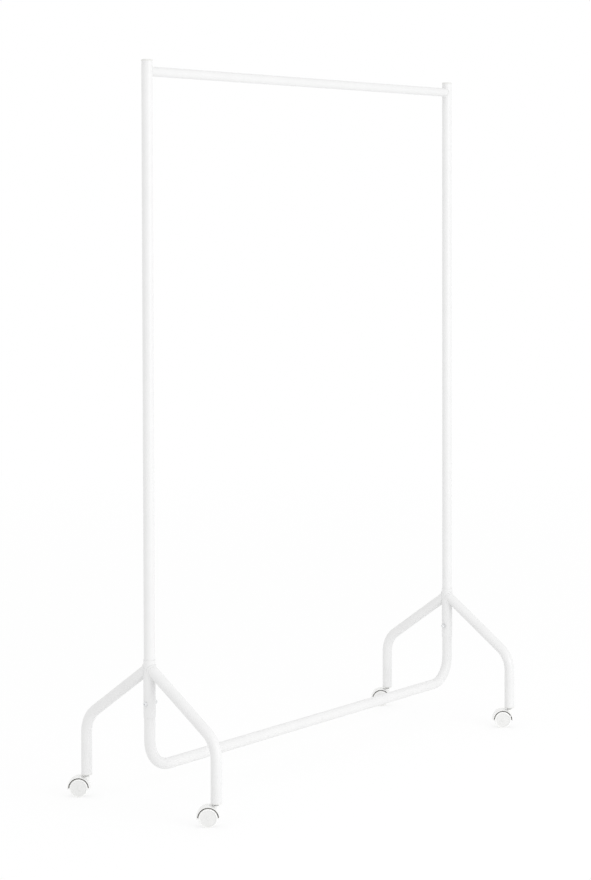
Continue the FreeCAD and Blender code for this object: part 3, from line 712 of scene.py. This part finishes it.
def sweptHood():
    # a T section, crowned on top, carried round the axle
    bm = bmesh.new()
    half = hoodSizes["half"]
    rise = hoodSizes["crest"] - hoodSizes["edge"]
    crown = []
    for index in range(2 * hoodSizes["crownSteps"] + 1):
        across = -1 + index / hoodSizes["crownSteps"]
        crown.append((half * across, hoodSizes["crest"] - rise * across * across))
    web = hoodSizes["web"] / 2
    webFoot = hoodSizes["hub"] * 0.6        # inside the hub
    inside = hoodSizes["inside"]
    inner = [(half, inside), (web, inside), (web, webFoot), (-web, webFoot), (-web, inside),
             (-half, inside)]
    section = [bm.verts.new((0, across, radius)) for across, radius in crown + inner]
    bm.faces.new(section)
    wrap = math.radians(hoodSizes["wrap"])
    bmesh.ops.rotate(bm, verts=bm.verts, cent=(0, 0, 0), matrix=Matrix.Rotation(-wrap / 2, 3, "Y"))
    bmesh.ops.spin(bm, geom=bm.verts[:] + bm.edges[:] + bm.faces[:], cent=(0, 0, 0), axis=(0, 1, 0),
                   angle=wrap, steps=64)
    bmesh.ops.recalc_face_normals(bm, faces=bm.faces)
    return bm


def rod(radius, low, high, steps=64):
    return turned([(0, low, 0), (radius, low, 0), (radius, high, 0), (0, high, 0)], steps=steps)


def hoodShape(trail, bossTop, clipTop):
    alongAxle = Matrix.Rotation(math.pi / 2, 4, "X")
    atStem = Matrix.Translation((-trail, 0, 0))
    bm = sweptHood()
    bm = combined(bm, moved(rod(hoodSizes["hub"], -hoodSizes["hubHalf"], hoodSizes["hubHalf"]), alongAxle),
                  "UNION")
    boss = turned([(0, hoodSizes["bossFoot"], 0), (hoodSizes["boss"], hoodSizes["bossFoot"], 0),
                   (hoodSizes["boss"], bossTop, hoodSizes["bossEdge"]), (0, bossTop, 0)], steps=64)
    bm = combined(bm, moved(boss, atStem), "UNION")
    piece = looseObject(bm)
    remesh = piece.modifiers.new("moulding", "REMESH")
    remesh.mode = "VOXEL"
    remesh.voxel_size = hoodSizes["voxel"]
    bm = bakedMesh(piece)
    for _ in range(hoodSizes["smoothings"]):
        bmesh.ops.smooth_vert(bm, verts=bm.verts, factor=0.5, use_axis_x=True, use_axis_y=True,
                              use_axis_z=True)
    piece = looseObject(bm)
    thin = piece.modifiers.new("thin", "DECIMATE")
    thin.ratio = hoodSizes["keptFaces"]
    bm = bakedMesh(piece)
    past = hoodSizes["cutPast"]
    axleHole = rod(hoodSizes["axleHole"], -hoodSizes["hubHalf"] - past, hoodSizes["hubHalf"] + past)
    bm = combined(bm, moved(axleHole, alongAxle), "DIFFERENCE")
    stemHole = rod(hoodSizes["stemHole"], hoodSizes["stemHoleFoot"], bossTop + past)
    bm = combined(bm, moved(stemHole, atStem), "DIFFERENCE")
    recess = rod(hoodSizes["clipHole"], hoodSizes["bossFoot"] - past, clipTop + hoodSizes["clipRoom"])
    bm = combined(bm, moved(recess, atStem), "DIFFERENCE")
    # faces on the hood's inside take the second finish, a darker tone that paints the shade in the gap over the
    # wheels
    for face in bm.faces:
        middle = face.calc_center_median()
        if math.hypot(middle.x, middle.z) < hoodSizes["inside"] + hoodSizes["paintedShadeSkin"]:
            face.material_index = 1
    return bm


wheelSizes = {
    "edge": 2.4 * mm,           # rounded edges of the tread
    "crown": 0.12 * mm,         # rise of the tread in the middle of its width
    "rim": 2.8 * mm,            # width of the raised rim
    "recess": 0.9 * mm,         # disc below the rim
    "disc": 2.2 * mm,           # thickness of the disc
    "wall": 3.0 * mm,           # under the tread
    "hub": 5.5 * mm,            # radius
    "bore": 2.55 * mm,          # radius
    "button": 4.2 * mm,         # radius of the low boss over the axle
    "buttonRise": 0.4 * mm,
    "ribs": 6,
    "rib": 1.4 * mm,
    "ribDepth": 1.5 * mm,       # below the inner end of the wheel
    "ribBite": 0.5 * mm,        # into the hub, the wall and the disc
    "boreEdge": 0.2 * mm,
    "hubEdge": 0.4 * mm,
    "hubCorner": 0.6 * mm,
    "wallCorner": 0.8 * mm,
    "wallEdge": 0.3 * mm,
    "rimEdge": 0.35 * mm,
    "rimCorner": 0.3 * mm,
    "buttonCorner": 0.2 * mm,
    "buttonEdge": 0.3 * mm,
    "rimHighlightMargin": 0.05 * mm,    # the painted highlight starts this far inside the rim
    "hubGap": 0.5 * mm,         # from the hood's hub
    "inset": 0.2 * mm,          # from the hood's side
}


def wheelShape(radius, inner, outer):
    # built about Z, its outer face up
    hub = wheelSizes["hub"]
    bore = wheelSizes["bore"]
    button = wheelSizes["button"]
    wall = radius - wheelSizes["wall"]
    shoulder = radius - wheelSizes["crown"]
    rim = radius - wheelSizes["rim"]
    disc = outer - wheelSizes["recess"]
    discFoot = disc - wheelSizes["disc"]
    boreTop = disc - wheelSizes["disc"] / 2
    buttonTop = disc + wheelSizes["buttonRise"]
    bm = turned([
        (bore, inner, wheelSizes["boreEdge"]), (hub, inner, wheelSizes["hubEdge"]),
        (hub, discFoot, wheelSizes["hubCorner"]), (wall, discFoot, wheelSizes["wallCorner"]),
        (wall, inner, wheelSizes["wallEdge"]), (shoulder, inner, wheelSizes["edge"]),
        (radius, (inner + outer) / 2, 0), (shoulder, outer, wheelSizes["edge"]),
        (rim, outer, wheelSizes["rimEdge"]), (rim, disc, wheelSizes["rimCorner"]),
        (button, disc, wheelSizes["buttonCorner"]), (button, buttonTop, wheelSizes["buttonEdge"]),
        (0, buttonTop, 0), (0, boreTop, 0), (bore, boreTop, 0)], closed=True)
    bite = wheelSizes["ribBite"]
    start = hub - bite
    end = wall + bite
    low = inner + wheelSizes["ribDepth"]
    high = discFoot + bite
    for index in range(wheelSizes["ribs"]):
        rib = bmesh.new()
        bmesh.ops.create_cube(rib, size=1)
        bmesh.ops.scale(rib, verts=rib.verts, vec=(end - start, wheelSizes["rib"], high - low))
        bmesh.ops.translate(rib, verts=rib.verts, vec=((start + end) / 2, 0, (low + high) / 2))
        bmesh.ops.rotate(rib, verts=rib.verts, cent=(0, 0, 0),
                         matrix=Matrix.Rotation(math.tau * index / wheelSizes["ribs"], 3, "Z"))
        bm = combined(bm, rib, "UNION")
    # faces on the rim and tread take the second finish, a lighter tone that paints their highlight
    for face in bm.faces:
        middle = face.calc_center_median()
        if math.hypot(middle.x, middle.y) > rim - wheelSizes["rimHighlightMargin"] and middle.z > inner:
            face.material_index = 1
    return bm


def casterPlace(end):
    # where a caster's axle is, and its own axes
    spin = joints["spin_%s_a" % end]
    swivel = Vector(joints["swivel_" + end]["pos_m"])
    axle = Vector(spin["pos_m"])
    trail = (axle - swivel) * Vector((1, 1, 0))
    forward = trail.normalized()
    up = Vector((0, 0, 1))
    matrix = Matrix((forward, up.cross(forward), up)).transposed().to_4x4()
    return Matrix.Translation(axle) @ matrix, trail.length, axle.z


firstFoot = feet[0]
_, trail, axleHeight = casterPlace(firstFoot)
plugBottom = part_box("foot_plug_" + firstFoot)[0].z
bossTop = plugBottom - stemSizes["collarHeight"] - stemSizes["collarGap"]
hood = hoodShape(trail, bossTop - axleHeight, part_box("caster_clip_" + firstFoot)[1].z - axleHeight)
print("hood shaped")
wheelInner = hoodSizes["hubHalf"] + wheelSizes["hubGap"]
wheelOuter = hoodSizes["half"] - wheelSizes["inset"]
wheel = wheelShape(axleHeight, wheelInner, wheelOuter)
print("wheel shaped")

for end in feet:
    place = casterPlace(end)[0]
    newPiece(moved(hood.copy(), place), "hood_" + end, "hood_plastic", "caster_" + end,
             ["caster_hood_" + end], 50, second=hoodInsidePaintedShade)
    for letter in "ab":
        node = "caster_wheel_%s_%s" % (end, letter)
        across = place.inverted() @ boxMiddle(node)
        turn = Matrix.Rotation(-math.pi / 2 if across.y > 0 else math.pi / 2, 4, "X")
        newPiece(moved(wheel.copy(), place @ turn), "wheel_%s_%s" % (end, letter),
                 "wheel_plastic", "wheel_%s_%s" % (end, letter), [node], second=rimPaintedHighlight)
hood.free()
wheel.free()
print("casters done")


# The stage: a pale floor, a bright surround and two soft boxes.

stageSizes = {
    "floorHalf": 40,            # metres
    "floorTone": "F8F8F8",
    "floorFade": (1.5, 6.0),    # metres from the rack, where the floor melts into the surround
    "surround": 1.0,
    "floorGlow": 0.75,          # share of the surround's own light in the floor under the rack
    "keyPlace": (-0.3, -4.6, 1.4),
    "keyWatts": 60,
    "keySize": 3.0,
    "fillPlace": (-4.5, 1.0, 2.2),
    "fillWatts": 3,
    "fillSize": 2.0,
}


def paleFloor():
    bm = bmesh.new()
    bmesh.ops.create_grid(bm, x_segments=1, y_segments=1, size=stageSizes["floorHalf"])
    mesh = bpy.data.meshes.new("pale_floor")
    bm.to_mesh(mesh)
    bm.free()
    material, tree, place = blankMaterial("matt_paper_sweep")
    paper = addNode(tree, "ShaderNodeBsdfDiffuse", None, {"Color": toLinear(stageSizes["floorTone"])})
    haze = addNode(tree, "ShaderNodeEmission", None,
                   {"Color": (1, 1, 1, 1), "Strength": stageSizes["surround"]})
    away = addNode(tree, "ShaderNodeVectorMath", {"operation": "LENGTH"}, {0: place}).outputs["Value"]
    blend = fade(tree, away, *stageSizes["floorFade"], stageSizes["floorGlow"], 1.0)
    surface = addNode(tree, "ShaderNodeMixShader", None,
                      {0: blend, 1: paper.outputs[0], 2: haze.outputs[0]})
    addNode(tree, "ShaderNodeOutputMaterial", None, {"Surface": surface.outputs[0]})
    mesh.materials.append(material)
    floor = bpy.data.objects.new("pale_floor", mesh)
    scene.collection.objects.link(floor)


def softBox(name, place, aim, size, watts):
    light = bpy.data.lights.new(name, "AREA")
    light.shape = "SQUARE"
    light.size = size
    light.energy = watts
    lamp = bpy.data.objects.new(name, light)
    lamp.location = place
    lamp.rotation_mode = "QUATERNION"
    lamp.rotation_quaternion = (Vector(aim) - Vector(place)).to_track_quat("-Z", "Y")
    scene.collection.objects.link(lamp)


paleFloor()
world = bpy.data.worlds.new("bright_surround")
world.use_nodes = True
world.node_tree.nodes["Background"].inputs["Color"].default_value = (1, 1, 1, 1)
world.node_tree.nodes["Background"].inputs["Strength"].default_value = stageSizes["surround"]
scene.world = world
scene.view_settings.view_transform = "Standard"

middle = (cadBox[0] + cadBox[1]) / 2
for name in ("key", "fill"):
    softBox(name + "_box", stageSizes[name + "Place"], middle, stageSizes[name + "Size"],
            stageSizes[name + "Watts"])

cameraSizes = {
    "round": -51.50,        # degrees round the rack from the front
    "away": 5.3186,         # metres, level, from the rack's middle
    "height": 1.3606,
    "heading": -51.11,      # degrees from straight back
    "down": 1.652,          # degrees
    "tilt": -0.13,          # degrees
    "lens": 88.36,
    "shift": -0.1901,
}


def standCamera():
    around = math.radians(cameraSizes["round"])
    data = bpy.data.cameras.new("camera")
    data.lens = cameraSizes["lens"]
    data.shift_y = cameraSizes["shift"]
    data.clip_end = 200
    camera = bpy.data.objects.new("camera", data)
    heading = Matrix.Rotation(math.radians(cameraSizes["heading"]), 4, "Z")
    down = Matrix.Rotation(math.radians(90 - cameraSizes["down"]), 4, "X")
    tilt = Matrix.Rotation(math.radians(cameraSizes["tilt"]), 4, "Z")
    camera.matrix_world = heading @ down @ tilt
    camera.location = (cameraSizes["away"] * math.sin(around), -cameraSizes["away"] * math.cos(around),
                       cameraSizes["height"])
    scene.collection.objects.link(camera)
    scene.camera = camera


standCamera()
